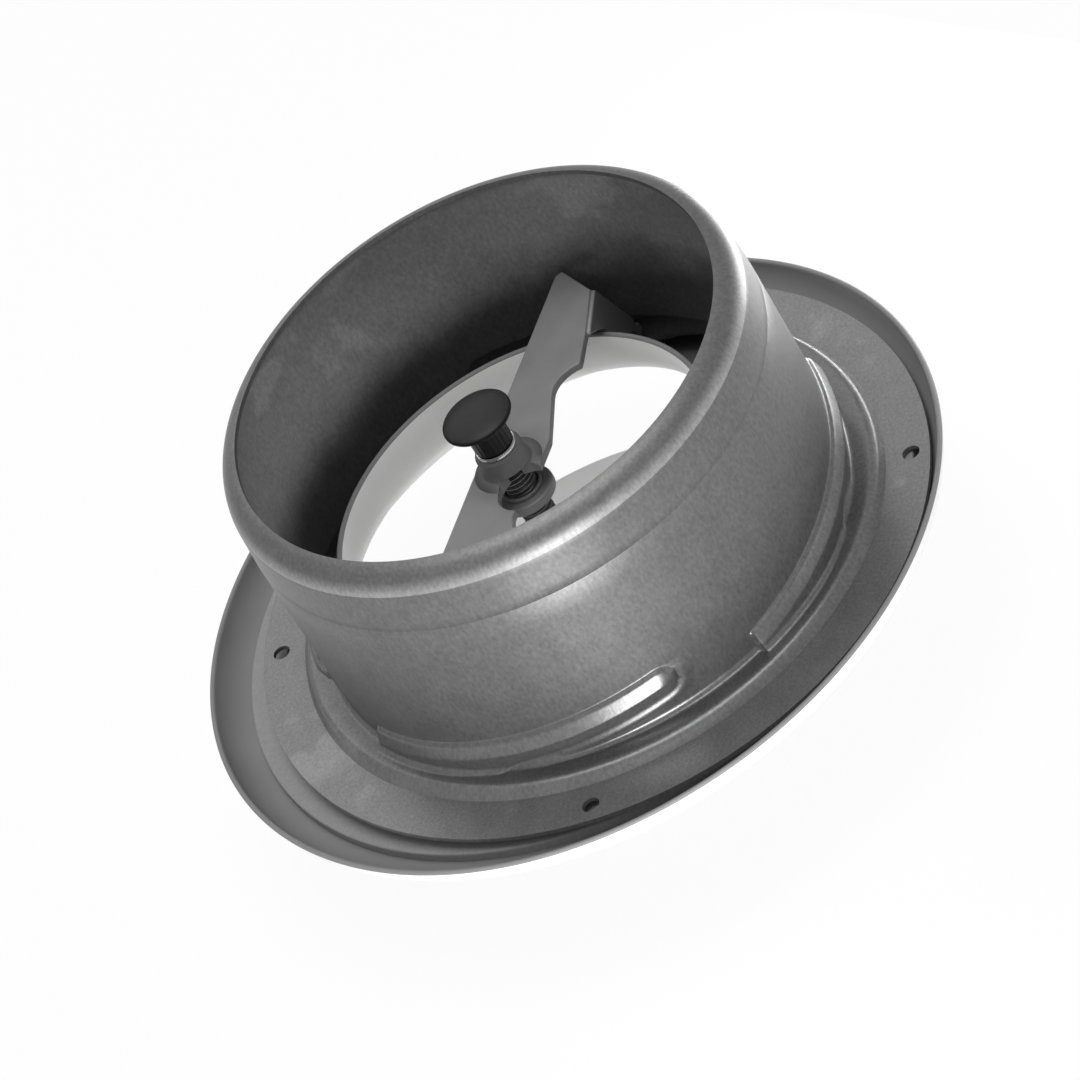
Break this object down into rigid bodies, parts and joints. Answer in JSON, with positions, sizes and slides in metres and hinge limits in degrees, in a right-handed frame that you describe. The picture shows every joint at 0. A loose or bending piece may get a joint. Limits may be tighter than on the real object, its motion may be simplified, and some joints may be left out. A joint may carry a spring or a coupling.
{
  "type": "disc valve",
  "caption": "Round ceiling air valve: a dished disc on a threaded spindle, a bridge across the throat, a flared front ring, and a bayonet mounting frame with a duct collar.",
  "frame": {"origin": "on the collar's axis, in the ceiling side of the flange, at the centre of the screw circle", "axes": "+Z along the collar into the duct, +X along the bridge, +Y square to both"},
  "size_m": [0.1416, 0.1417, 0.0788],
  "materials": {
    "galvanised_sheet": "drawn galvanised sheet, satin",
    "foam": "light grey closed-cell foam",
    "white_paint": "white powder coat on the face, bare grey sheet behind",
    "bridge_sheet": "galvanised, matt",
    "bright_zinc": "bright zinc plate",
    "black_plastic": "matt black",
    "spindle_steel": "zinc plated thread",
    "disc_paint": "white powder coat in front, bare grey sheet behind"
  },
  "bodies": {
    "frame": {"mounting_frame": "galvanised_sheet"},
    "seal": {"ring_gasket": "foam"},
    "valve": {"front_ring": "white_paint", "bridge": "bridge_sheet"},
    "stop": {"stop_washer": "bright_zinc"},
    "spindle": {"spindle": "spindle_steel", "spindle_cap": "black_plastic", "disc": "disc_paint"},
    "lock_lift_ring": {"lock_washer": "bright_zinc"},
    "lock": {"lock_nut": "bridge_sheet"}
  },
  "joints": [
    {"name": "bayonet_turn", "type": "hinge", "parent": "frame", "child": "seal", "pos_m": [0, 0, 0], "axis": [0, 0, 1], "range_deg": [-22, 0]},
    {"name": "bayonet_draw", "type": "slide", "parent": "seal", "child": "valve", "axis": [0, 0, 1], "range_m": [-0.0021, 0]},
    {"name": "disc_lift", "type": "slide", "parent": "valve", "child": "stop", "axis": [0, 0.0288, 0.9996], "range_m": [0, 0.0181]},
    {"name": "disc_turn", "type": "hinge", "parent": "stop", "child": "spindle", "pos_m": [0, 0.00455, 0], "axis": [0, 0.0288, 0.9996], "range_deg": [0, 6480]},
    {"name": "lock_lift", "type": "slide", "parent": "valve", "child": "lock_lift_ring", "axis": [0, 0.0288, 0.9996], "range_m": [-0.006, 0.003]},
    {"name": "lock_turn", "type": "hinge", "parent": "lock_lift_ring", "child": "lock", "pos_m": [0, 0.00455, 0], "axis": [0, 0.0288, 0.9996], "range_deg": [-2170, 1090]}
  ],
  "couplings": [
    {"joint": "bayonet_draw", "follows": "bayonet_turn", "m_per_rad": 0.005269},
    {"joint": "disc_lift", "follows": "disc_turn", "m_per_rad": 0.00015915},
    {"joint": "lock_turn", "follows": "lock_lift", "rad_per_m": 6283.2}
  ]
}
